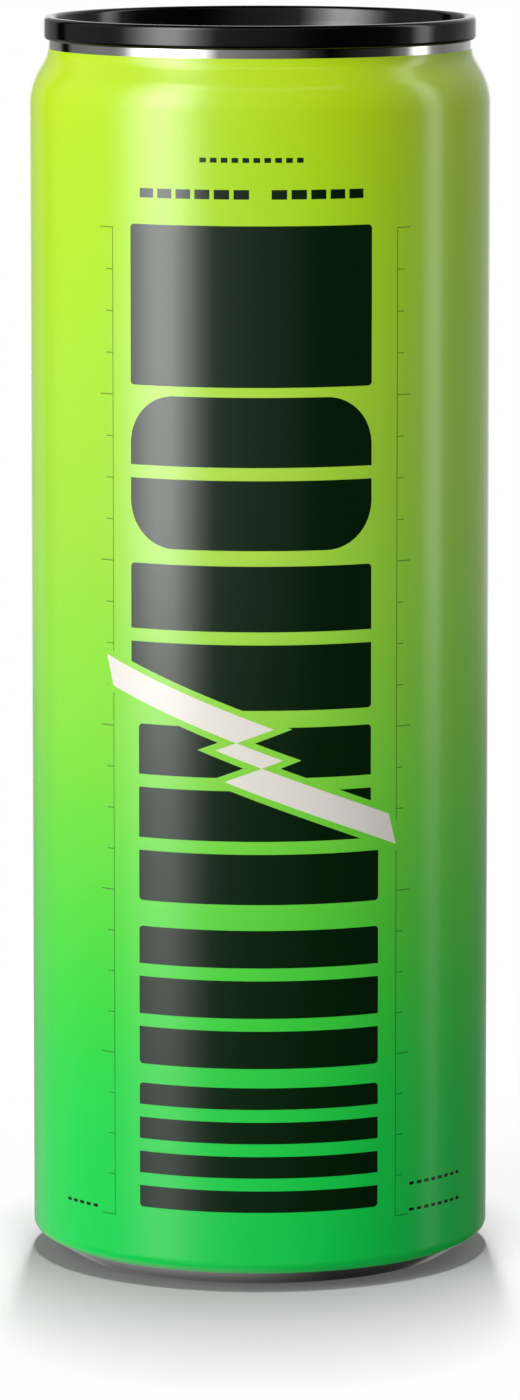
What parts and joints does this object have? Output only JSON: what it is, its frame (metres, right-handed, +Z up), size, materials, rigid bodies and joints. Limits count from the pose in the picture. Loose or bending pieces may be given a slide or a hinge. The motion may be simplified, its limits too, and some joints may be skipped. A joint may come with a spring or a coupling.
{
  "type": "drinks can",
  "caption": "Sealed slim aluminium drinks can: necked printed body, domed base with a standing ring, black seamed end with a stay-on tab.",
  "frame": {"origin": "centre of the base, on the plane that the can stands on", "axes": "+Z up along the can's axis; the front of the print and the mouth in the end face -Y; +X to the right seen from the front"},
  "size_m": [0.0573, 0.0572, 0.1555],
  "materials": {
    "body_print": "gloss",
    "end_lacquer": "gloss",
    "tab_lacquer": "satin"
  },
  "bodies": {
    "root": {"can_body": "body_print", "can_end": "end_lacquer", "pull_tab": "tab_lacquer"}
  },
  "joints": []
}
